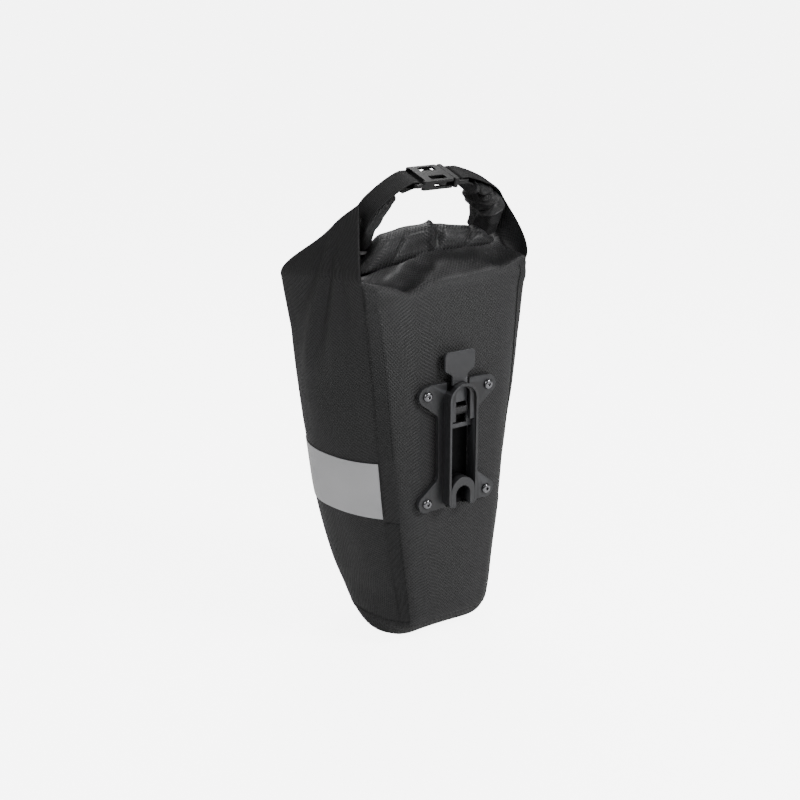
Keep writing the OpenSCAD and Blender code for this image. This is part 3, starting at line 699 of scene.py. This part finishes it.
# Points of the bag's surface, their outward directions, and distances along it
BAG = whole_bag(WRAP, BODY)
PROUD = whole_bag(WRAP_OUT, BODY_OUT)
ACROSS = lengths_along(np.concatenate([BAG, BAG[:, :1]], axis=1), 1)
DOWN = lengths_along(BAG, 0)
# Which way along x each side lies
SIGNS = {"right": 1, "left": -1}


def follow_end(piece):
    """Bakes the piece's placement into its mesh."""
    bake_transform(piece)


def cloth_uv(columns, rows, middle):
    """Cloth positions, measured across from one column and down from the folded edge."""
    u = ACROSS[rows][:, columns] - ACROSS[rows][:, middle][:, None]
    wrapped = np.array(columns) % BAG.shape[1]
    return np.stack([u, DOWN[rows][:, wrapped]], -1)


def bag_piece(name, columns, rows, material, proud=0.0, thick=FABRIC_T, middle=HALF_COLS):
    """A cloth cut from the bag's surface: proud is its outer face's height, thick its own thickness."""
    rows, wrapped = np.array(rows), np.array(columns) % BAG.shape[1]
    face, out = BAG[rows][:, wrapped], PROUD[rows][:, wrapped]
    uv = cloth_uv(np.array(columns), rows, middle)
    return cloth(name, face + out * proud, face + out * (proud - thick), uv, material, out)


ALL_COLS = BAG.shape[1]
CORNER_COL = round(CORNER_SHARE * HALF_COLS)
SIDE = range(-CREASE_COLS, SIDE_COLS + CREASE_COLS + 1)
BACK = range(SIDE_COLS + CREASE_COLS, ALL_COLS - CREASE_COLS + 1)
BACK_MIDDLE = SIDE_COLS + BACK_COLS // 2
TOP = range(TOP_ROW + 1)


def make_body():
    walls = range(TOP_ROW, LOW_INDEX + 1)
    sides = bag_piece("side_and_front_fabric", SIDE, walls, "fabric_body")
    place(sides, "bag", "wrap_panel")
    back = bag_piece("back_fabric", BACK, walls, "fabric_back", middle=BACK_MIDDLE)
    place(back, "bag", "back_panel")
    front = bag_piece("front_slope_fabric", range(CORNER_COL, SIDE_COLS - CORNER_COL + 1), TOP, "fabric_body")
    place(front, "bag", "front_slope")
    gables = {"right": range(CORNER_COL + 1), "left": range(SIDE_COLS - CORNER_COL, SIDE_COLS + 1)}
    for side, columns in gables.items():
        gable = bag_piece(side + "_gable_fabric", columns, TOP, "fabric_body")
        follow_end(gable)
        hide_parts(side + "_gable")
        make_gusset(side)
    make_back_slope()
    make_bottom()


def make_back_slope():
    """From the back panel's sagging top edge, through a hollow, up to the face of the roll."""
    columns = np.arange(SIDE_COLS, ALL_COLS + 1)
    base, out = BODY[0, columns % ALL_COLS], BODY_OUT[0, columns % ALL_COLS]
    k = np.linspace(-1, 1, len(columns))[:, None]
    to_left = smooth(-k[:, 0], -0.12, 0.55)[:, None]
    end_z = 223.5 - 12 * to_left - 5 * smooth(-k, 0.5, 1.0)
    end = np.concatenate([82 * k, 57 - 9 * smooth(-k, 0.2, 1.0), end_z], -1)
    t = np.linspace(0, 1, 46)[:, None, None]
    up, near = base + np.array([0, 5.0, 7.0]), end + np.array([0, -7.0, -15.0])
    grid = base * (1 - t) ** 3 + 3 * up * (1 - t) ** 2 * t + 3 * near * (1 - t) * t**2 + end * t**3
    x, t = grid[..., 0], t[..., 0]
    free = np.sin(t * math.pi) * np.minimum(1, (1 - np.abs(k[:, 0])) * 7)
    ribs = 0.55 * np.cos((x + 10 * t) / 2.9) * smooth(t, 0.35, 0.95) + 0.9 * np.cos((x - 6 * t) / 7.5)
    swell = ribs + 3.2 * bell(x, 22, 34) - 8.5 * bell(x, -52, 19) - 3.0 * bell(x, 64, 12)
    swell = swell + noise(grid, 15, 12)
    rough = normals_of(grid, False)
    rough = rough * np.sign(rough[..., 2:])
    grid = grid + rough * (free * swell)[..., None]
    normals = normals_of(grid, False)
    normals = normals * np.sign((normals * rough).sum(-1, keepdims=True))
    for i in range(7):
        normals[i] = unit(lerp(out, normals[i], i / 7))
    u = ACROSS[TOP_ROW][columns] - ACROSS[TOP_ROW][BACK_MIDDLE]
    uv = np.stack([np.repeat(u[None], len(grid), 0), DOWN[TOP_ROW, BACK_MIDDLE] - lengths_along(grid, 0)], -1)
    slope = cloth("back_slope_fabric", grid, grid - normals * FABRIC_T, uv, "fabric_fold", normals)
    place(slope, "bag", "back_slope")


def make_gusset(side):
    """The tucked-in fabric between a gable's free back edge and the end of the roll."""
    sign = SIGNS[side]
    column = 0 if sign > 0 else SIDE_COLS
    edge = WRAP[TOP_ROW::-1, column] - WRAP_OUT[TOP_ROW::-1, column] * FABRIC_T * 0.5
    t = np.linspace(0, 1, len(edge))
    inner = bezier((89, 37, 206), (86, 50, 205), (76, 60, 210), (66, 66, 240), t) * (sign, 1, 1)
    s = np.linspace(0, 1, 26)[None, :, None]
    grid = lerp(edge[:, None], inner[:, None], s)
    tuck = np.sin(s * math.pi) * np.sin(np.minimum(t * 1.4, 1) * math.pi / 2)[:, None, None]
    grid = grid + tuck * np.array([sign * 4.0, 9.0, -2.0])
    normals = normals_of(grid, False)
    normals = normals * -np.sign(normals[..., 1:2] + 1e-9)
    grid = grid + normals * ((2.6 * noise(grid, 21, 14) + 0.8 * noise(grid, 9, 15)) * tuck[..., 0])[..., None]
    uv = np.stack([lengths_along(grid, 1), lengths_along(grid, 0)], -1)
    gusset = cloth(side + "_gusset_fabric", grid, grid - normals * FABRIC_T, uv, "fabric_fold")
    follow_end(gusset)


def make_bottom():
    """The cloth under the low seam, closed by rings that shrink to its middle."""
    rows = np.arange(LOW_INDEX, len(BAG))
    skins = []
    for lift in (0.0, FABRIC_T):
        face = BAG[rows] - PROUD[rows] * lift
        last = face[-1]
        middle = last.mean(0)
        rings = [lerp(last, middle, k) for k in (0.2, 0.4, 0.6, 0.8, 0.95)]
        skins.append(np.concatenate([face, np.array(rings)]))
    count, cols = skins[0].shape[:2]
    total = count * cols
    points = np.concatenate([skins[0].reshape(-1, 3), skins[1].reshape(-1, 3), [skins[0][-1].mean(0)],
                             [skins[1][-1].mean(0)]])
    faces = grid_faces(count, cols, 0, True) + grid_faces(count, cols, total, True)
    for j in range(cols):
        k = (j + 1) % cols
        faces.append((j, k, k + total, j + total))
        faces.append(((count - 1) * cols + j, (count - 1) * cols + k, 2 * total))
        faces.append((total + (count - 1) * cols + j, total + (count - 1) * cols + k, 2 * total + 1))
    bottom = mesh_object("bottom_fabric", points, faces, points[:, :2], "fabric_body")
    place(bottom, "bag", "bottom_panel")


# The weld strips: width, thickness, and height and thickness of the one round the low seam, in mm; the
# rows that this one covers
STRIP_W, STRIP_T, LOW_STRIP_UP, LOW_STRIP_T = 15.0, 0.75, 0.35, 0.5
LOW_STRIP_ROWS = 4
# The band film's face above its CAD surface, and its thickness
BAND_UP, FILM_T = 0.25, 0.7


def strip_columns(side, width):
    """Columns within that width of the right (0) or left (1) back crease, taken a third of the way down."""
    line = ACROSS[TOP_ROW + 2 * ROW_STEPS]
    corner = line[-1] - line[ALL_COLS - CREASE_COLS]
    count = int(np.searchsorted(line, width - corner))
    near = list(range(1 - CREASE_COLS, count + 1))
    return near if side == 0 else [SIDE_COLS - c for c in near[::-1]]


def make_strips():
    """Welded seam strips beside the back panel, above and below the band, and one round the low seam."""
    band_top, band_low = (TOP_ROW + v * ROW_STEPS for v in BAND_ROWS)
    low_start = LOW_INDEX - LOW_STRIP_ROWS
    parts = {"upper": range(TOP_ROW + 1, band_top), "lower": range(band_low + 1, low_start)}
    for side, label in ((0, "right"), (1, "left")):
        columns = strip_columns(side, STRIP_W)
        for part, rows in parts.items():
            strip = bag_piece(label + "_weld_strip_" + part, columns, rows, "seam_tape", TAPE_T, STRIP_T)
            place(strip, "bag", label + "_seam_tape")
    low_rows = range(low_start, LOW_INDEX)
    round_low = bag_piece("low_weld_strip", SIDE, low_rows, "seam_tape", LOW_STRIP_UP, LOW_STRIP_T)
    place(round_low, "bag", "bottom_seam_tape")


def make_band():
    """The reflective band, from one back seam round the front to the other."""
    columns = range(SIDE_COLS + 1)
    rows = range(TOP_ROW + BAND_ROWS[0] * ROW_STEPS, TOP_ROW + BAND_ROWS[1] * ROW_STEPS + 1)
    band = bag_piece("reflective_band_film", columns, rows, "reflective", BAND_T + BAND_UP, FILM_T)
    place(band, "bag", "reflective_band")


# ---------- the rolled mouth ----------
ROLL_LEN, ROLL_Y, ROLL_Z, ROLL_D, ROLL_H = 158.0, 67.0, 225.0, 32.0, 29.0


def make_roll():
    """The rolled mouth: flattened folds that peak in the middle, with a left end drawn to the corner."""
    rows, cols = 230, 144
    k = np.linspace(-1, 1, rows)[:, None]
    turn = circle(cols)[None, :]
    left, right = smooth(-k, -0.05, 0.9), smooth(k, 0.7, 1.0)
    tip = smooth(-k, 0.62, 1.0)
    high = lerp(ROLL_Z + 16.5 - 2 * left - 25 * tip, ROLL_Z + 9.5, smooth(k, 0.0, 0.75)) - 9 * right
    low = lerp(ROLL_Z - 12.5, ROLL_Z - 15 - 2.5 * left, smooth(-k, 0.0, 0.5)) + 3 * right
    depth = ROLL_D * (1 - 0.25 * left - 0.35 * tip - 0.15 * right)
    shut = np.maximum(1 - np.abs(k) ** 30, 0.04) ** 0.5
    lap = 1.3 * smooth(np.sin(turn - 0.5 + 0.25 * k), 0.86, 0.97) * (1 - 0.5 * left)
    flank = turn - 2.35
    peak = 5.5 * np.exp(-np.abs(k - 0.02 + 0.06 * flank) / 0.04) * bell(turn, 2.3, 0.9)
    pit = -5.0 * bell(k, 0.13 - 0.03 * flank, 0.05) * bell(turn, 2.9, 0.6)
    facet = -4.2 * smooth(k, -0.55, -0.1) * (1 - smooth(k, -0.06, 0.05)) * bell(turn, 3.25, 0.55)
    tuck = -4.0 * np.exp(-np.abs(k + 0.34 + 0.16 * flank) / 0.05) * bell(turn, 3.0, 0.7)
    pinch = -4.5 * np.exp(-np.abs(k - 0.62 + 0.1 * flank) / 0.035) * bell(turn, 2.6, 0.9)
    y = ROLL_Y - 13 * smooth(-k, 0.1, 1.0) + shut * depth / 2 * np.cos(turn)
    z = (high + low) / 2 + shut * (high - low) / 2 * np.sign(np.sin(turn)) * np.abs(np.sin(turn)) ** 0.85
    rings = spread(k * ROLL_LEN / 2 - 4 * tip, y, z)
    ripple = 0.9 * noise(rings * (0.4, 1, 1), 13, 5) + 0.35 * noise(rings * (1, 0.5, 0.5), 6, 6)
    ribs = 0.35 * np.cos(rings[..., 0] / 0.62) * bell(turn, 3.7, 0.5)
    out = spread(0 * y, np.cos(turn), np.sin(turn))
    move = lap + peak + pit + facet + tuck + pinch + ribs + ripple
    rings = rings + out * (move * shut)[..., None]
    uv = spread(rings[..., 0], turn * (ROLL_D + ROLL_H) / 4)
    roll = tube("rolled_mouth", rings, uv, "fabric_fold")
    place(roll, "bag", "roll_tube")


# ---------- handle loop ----------
LOOP_LEAN = math.radians(18)
LOOP_Y, LOOP_Z = 68.0, 244.0
BUCKLE_C, FEMALE_L, MALE_R, BAR_W, BAR_T = 44.0, -27.0, 33.0, 4.0, 3.4
WEB_W, WEB_T = 25.0, 1.8


def from_loop(x, across, up):
    """A point of the leaning loop's plane, in the bag's frame."""
    return spread(x, LOOP_Y + across * math.cos(LOOP_LEAN) - up * math.sin(LOOP_LEAN),
                  LOOP_Z + across * math.sin(LOOP_LEAN) + up * math.cos(LOOP_LEAN))


def web_rise(base, lift, bar, count):
    """Middle line of a webbing from the roll's end up to its buckle bar, for the right-hand side."""
    gap = BAR_T / 2 + WEB_T / 2 + 0.15
    return bezier(base, (base[0] - 3, base[1] + 13), (bar + 18, BUCKLE_C + lift - 3),
                  (bar + 3, BUCKLE_C + gap), np.linspace(0, 1, count))


def web_line(base, lift, bar):
    """The whole webbing: up to the bar, round it and back under itself."""
    gap = BAR_T / 2 + WEB_T / 2 + 0.15
    turn = np.radians(np.linspace(90, 270, 25))
    hook = np.stack([bar - BAR_W / 2 + 0.2 + gap * np.cos(turn), BUCKLE_C + gap * np.sin(turn)], -1)
    share = np.linspace(0.03, 1, 30)[:, None]
    tail = lerp(np.array([bar + 1, BUCKLE_C - gap]), np.array([bar + 13, BUCKLE_C - 5 - lift]), share)
    return np.concatenate([web_rise(base, lift, bar, 220), hook[1:], tail])


# Each end of the loop. base is where the webbing starts, inner the folded fabric's inner edge, and reach
# how far along the webbing that fabric goes
ENDS = {
    "right": {"sign": 1, "base": (87, 17), "lift": 1.6, "bar": MALE_R - BAR_W / 2 - 0.2,
              "inner": ((63, 6), (40, 36)), "width": 36, "body": "right_end", "crumple": 1.0, "reach": 0.84},
    "left": {"sign": -1, "base": (74, 5), "lift": 1.2, "bar": -FEMALE_L - BAR_W / 2 - 0.2,
             "inner": ((57, 2), (42, 31)), "width": 27, "body": "left_end", "crumple": 0.15, "reach": 0.72},
}


# The webbing stands out by that much at its foot, and lies on its CAD line from that far up, in mm
FOOT_OUT, FOOT_END = 4.0, 26


def make_webbing(side):
    """One ribbed webbing, from the roll's end round its buckle bar and back."""
    end = ENDS[side]
    line = web_line(end["base"], end["lift"], end["bar"])
    along = lengths_along(line, 0)
    step = 0.6
    at = np.arange(0, along[-1], step)
    line = np.stack([np.interp(at, along, line[:, i]) for i in (0, 1)], -1)
    ahead = unit(np.gradient(line, axis=0))
    normal = np.stack([-ahead[:, 1], ahead[:, 0]], -1)
    line = line + normal * (FOOT_OUT * (1 - smooth(at, 0, FOOT_END)))[:, None]
    share = np.linspace(-1, 1, 122)[1:]
    flat = np.concatenate([share, -share]) * WEB_W / 2
    rib = 0.16 * (1 - np.cos(share * math.pi * WEB_W / WEB_RIB))
    face = np.sqrt(1 - np.abs(share) ** 12) * (WEB_T / 2 - rib)
    twill = 1 + 0.06 * np.sin((at[:, None] + 2.2 * np.abs(flat[None, :])) * 2 * math.pi / 1.9)
    thick = np.concatenate([face, -face])[None, :] * twill
    x = line[:, :1] + normal[:, :1] * thick
    up = line[:, 1:] + normal[:, 1:] * thick
    rings = from_loop(end["sign"] * x, flat, up)
    uv = spread(flat, at[:, None] + 0 * x)
    web = tube(side + "_ribbed_webbing", rings, uv, "webbing")
    place(web, end["body"], side + "_webbing")


# Folds across each bundled end: place along it, slant, depth in mm and sharpness
ARM_FOLDS = {
    "right": [(0.10, 0.16, 4.0, 0.05), (0.22, -0.16, -6.5, 0.05), (0.36, 0.18, 4.5, 0.06),
              (0.50, 0.22, -9.0, 0.05), (0.63, -0.16, 4.5, 0.05), (0.76, 0.2, -6.0, 0.045),
              (0.88, -0.14, 3.5, 0.05)],
    "left": [(0.12, 0.12, -1.6, 0.045), (0.42, 0.12, -0.8, 0.06), (0.80, 0.12, -0.8, 0.05)],
}


# The fabric lies that far inside the webbing's middle line, and its folds push sideways by that share
UNDER_WEB, SIDE_PUSH = 1.6, 0.5


def make_bundle(side):
    """The folded fabric of one end: it leaves the gable, crumples and narrows to the buckle."""
    end = ENDS[side]
    rows, cols = 170, 128
    path = web_rise(end["base"], end["lift"], end["bar"], rows) - UNDER_WEB
    reach = np.linspace(0, end["reach"], rows)
    outer = np.stack([np.interp(reach, np.linspace(0, 1, rows), path[:, i]) for i in (0, 1)], -1)
    inner0, inner1 = (np.array(p, float) for p in end["inner"])
    inner = bezier(inner0, inner0 + (-6, 8), lerp(inner1, inner0, 0.3) + (2, -2), inner1,
                   np.linspace(0, 1, rows))
    foot_steps = 44
    foot = np.linspace(1, 0, foot_steps, endpoint=False)[:, None]
    outer = np.concatenate([outer[0] + foot * (-3, -26), outer])
    inner = np.concatenate([inner[0] + foot * (3, -20), inner])
    t = np.concatenate([-0.3 * foot[:, 0], np.linspace(0, 1, rows)])[:, None]
    turn = circle(cols)[None, :]
    centre, half = (outer + inner) / 2, (outer - inner) / 2
    up_share = np.sign(np.sin(turn)) * np.abs(np.sin(turn)) ** 0.75
    across_share = np.sign(np.cos(turn)) * np.abs(np.cos(turn)) ** 0.75
    width = end["width"] / 2 * (1 - 0.16 * smooth(t, 0.7, 1.0) - 0.12 * smooth(-t, 0.0, 0.3))
    cap = np.minimum(1, np.maximum(0.05, (1.0 - t) / 0.05)) ** 0.5
    x = centre[:, :1] + half[:, :1] * up_share * cap
    up = centre[:, 1:] + half[:, 1:] * up_share * cap
    across = width * across_share * cap + 0 * x
    under = smooth(-np.sin(turn), -0.75, 0.1)
    move = np.zeros_like(x)
    for at, slant, depth, sharp in ARM_FOLDS[side]:
        gap = np.abs(t - at - slant * np.cos(turn + at * 5) * 0.6)
        move = move + depth * np.exp(-gap / sharp) * (0.25 + 0.75 * under)
    cells = spread(x, across, up)
    big = 1 - np.abs(noise(cells * (0.9, 0.7, 1.1), 24, 13)) * 2.6
    crumple = 1 - np.abs(noise(cells * (1, 0.8, 1), 14, 8)) * 2
    fine = 1 - np.abs(noise(cells, 7.0, 9)) * 2
    strength = end["crumple"] * (0.15 + 0.85 * under)
    move = (move + (3.4 * big + 1.6 * crumple + 0.4 * fine) * strength) * np.minimum(1, cap * 1.2)
    out_x = unit(half)[:, :1] * np.sin(turn)
    out_up = unit(half)[:, 1:] * np.sin(turn)
    x, up, across = x + out_x * move, up + out_up * move, across + np.cos(turn) * move * SIDE_PUSH
    rings = from_loop(end["sign"] * x, across, up)
    uv = spread(turn * (end["width"] + 20) / math.pi, t * 100)
    bundle = tube(side + "_folded_end", rings, uv, "fabric_fold")
    follow_end(bundle)
    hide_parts(side + "_roll_end")


# ---------- plastic and metal pieces ----------
# Edges that turn by more than this many degrees are rounded
EDGE_ANGLE = 32


def rounded_copy(name, node, body, slot, edge_mm, segments=2):
    """The CAD node's own shape with its flat faces joined and its edges rounded."""
    build = bmesh.new()
    build.from_mesh(frame["nodes"][node].data)
    bmesh.ops.remove_doubles(build, verts=build.verts, dist=2e-6)
    bmesh.ops.dissolve_limit(build, angle_limit=math.radians(1.2), verts=build.verts, edges=build.edges)
    points = [tuple(v.co) for v in build.verts]
    faces = [[v.index for v in f.verts] for f in build.faces]
    build.free()
    mesh = bpy.data.meshes.new(name)
    mesh.from_pydata(points, [], faces)
    mesh.polygons.foreach_set("use_smooth", [True] * len(mesh.polygons))
    mesh.materials.append(MATERIALS[slot])
    obj = new_object(name, mesh)
    round_edges = obj.modifiers.new("round_edges", "BEVEL")
    round_edges.width = edge_mm * MM
    round_edges.segments = segments
    round_edges.limit_method = "ANGLE"
    round_edges.angle_limit = math.radians(EDGE_ANGLE)
    round_edges.harden_normals = True
    place(obj, body, node)


SCREW_DX, SCREW_DZ, PATTERN_Z, EAR_Y = 69.0, 103.5, 46.5, 10.0
HEAD_R, HEAD_T, SHANK_R, SHANK_END = 4.75, 2.75, 2.5, 27.1
HEX_R, HEX_DEEP = 1.75, 1.8


def make_screws():
    """Four button-head screws: domed heads with a hex socket, on plain shanks."""
    count = 72
    turn = circle(count)
    hexagon = HEX_R * math.cos(math.pi / 6) / np.cos((turn % (math.pi / 3)) - math.pi / 6)
    dome = []
    for a in np.linspace(0, math.pi / 2, 9):
        dome.append((2.6 + (HEAD_R - 2.6) * math.sin(a), EAR_Y - 0.5 - (HEAD_T - 0.5) * math.cos(a)))
    rings = [(hexagon * 0.02, EAR_Y - HEAD_T + HEX_DEEP + 0.3), (hexagon * 0.97, EAR_Y - HEAD_T + HEX_DEEP),
             (hexagon, EAR_Y - HEAD_T + HEX_DEEP - 0.05), (hexagon, EAR_Y - HEAD_T + 0.12),
             (hexagon * 1.08, EAR_Y - HEAD_T)]
    rings += dome
    shank = [(HEAD_R, EAR_Y - 0.1), (HEAD_R - 0.1, EAR_Y), (SHANK_R, EAR_Y), (SHANK_R, SHANK_END - 0.4),
             (SHANK_R - 0.4, SHANK_END)]
    rings += shank
    one = np.array([spread(r * np.cos(turn), y, r * np.sin(turn)) for r, y in rings])
    points, faces = [], []
    for sx, sz in ((-1, -1), (-1, 1), (1, -1), (1, 1)):
        offset = len(points)
        spin = math.radians(17 * sx + 23 * sz)
        c, s = math.cos(spin), math.sin(spin)
        turned = one @ np.array([(c, 0, s), (0, 1, 0), (-s, 0, c)])
        centre = np.array([sx * SCREW_DX / 2, 0, PATTERN_Z + sz * SCREW_DZ / 2])
        points.extend((turned + centre).reshape(-1, 3))
        faces += grid_faces(len(rings), count, offset, True)
        faces.append([offset + j for j in range(count)])
        faces.append([offset + (len(rings) - 1) * count + j for j in range(count)])
    screws = mesh_object("button_head_screws", points, faces, None, "screw_chrome")
    screws.data.set_sharp_from_angle(angle=math.radians(40))
    place(screws, "bag", "bracket_screws")


# The spring's low and top ends, its place, coil and wire radii in mm, and its turns
SPRING_LOW, SPRING_TOP, SPRING_Y, SPRING_R, WIRE_R, SPRING_TURNS = 90.4, 103.4, 11.35, 1.05, 0.25, 8


def make_spring():
    """The latch's return spring: a coil that stands against the housing's top wall."""
    turn = np.linspace(0, 2 * math.pi * SPRING_TURNS, SPRING_TURNS * 24 + 1)[:, None]
    section = circle(10)[None, :]
    reach = SPRING_R + WIRE_R * np.cos(section)
    climb = np.linspace(SPRING_LOW + WIRE_R, SPRING_TOP - WIRE_R, len(turn))[:, None]
    z = climb + WIRE_R * np.sin(section)
    rings = spread(reach * np.cos(turn), SPRING_Y + reach * np.sin(turn), z)
    uv = spread(section, turn)
    coil = tube("latch_return_spring", rings, uv, "spring_steel")
    place(coil, "bag", "latch_spring")
    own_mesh(coil)


# Bar tacks: thread radius and half the zigzag's width in mm, and its number of turns
THREAD_R, TACK_HALF, TACK_TURNS = 0.28, 0.95, 14


def make_bar_tacks():
    """A close zigzag of thread across each turned-back webbing."""
    for side, end in ENDS.items():
        low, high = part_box(side + "_bar_tack")
        centre = np.array((low + high) / 2) / MM
        count, sides = 220, 8
        share = np.linspace(0, 1, count)
        across = np.array([0, math.cos(LOOP_LEAN), math.sin(LOOP_LEAN)])
        path = centre + np.outer((share - 0.5) * (WEB_W - 5.4), across)
        path[:, 0] += TACK_HALF * np.sin(share * 2 * math.pi * TACK_TURNS)
        ahead = unit(np.gradient(path, axis=0))
        up = np.array([0, -math.sin(LOOP_LEAN), math.cos(LOOP_LEAN)])
        flat = unit(np.cross(ahead, up))
        a = circle(sides)
        section = flat[:, None] * np.cos(a)[None, :, None] + up * np.sin(a)[None, :, None]
        rings = path[:, None] + THREAD_R * section
        uv = spread(a, share[:, None] * 60)
        stitches = tube(side + "_bar_tack_stitches", rings, uv, "thread")
        place(stitches, end["body"], side + "_bar_tack")


def make_hardware():
    rounded_copy("bracket_housing", "mount_plate", "bag", "bracket_plastic", 0.55)
    rounded_copy("stud_seat", "lower_seat", "bag", "seat_plastic", 0.4)
    rounded_copy("pull_tab_slider", "latch_slider", "latch", "tab_plastic", 0.45)
    rounded_copy("latch_pawl_block", "latch_pawl", "pawl", "pawl_plastic", 0.4)
    rounded_copy("buckle_socket", "buckle_female", "left_end", "buckle_plastic", 0.5, 3)
    rounded_copy("buckle_fork", "buckle_male", "right_end", "buckle_plastic", 0.45, 3)
    rounded_copy("buckle_prong_front", "prong_front", "prong_front", "buckle_plastic", 0.4, 3)
    rounded_copy("buckle_prong_back", "prong_back", "prong_back", "buckle_plastic", 0.4, 3)
    make_screws()
    make_spring()
    make_bar_tacks()


make_body()
make_strips()
make_band()
make_roll()
for side in ENDS:
    make_webbing(side)
    make_bundle(side)
make_hardware()

visual_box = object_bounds()
add_floor(visual_box[0].z - FLOOR_GAP)
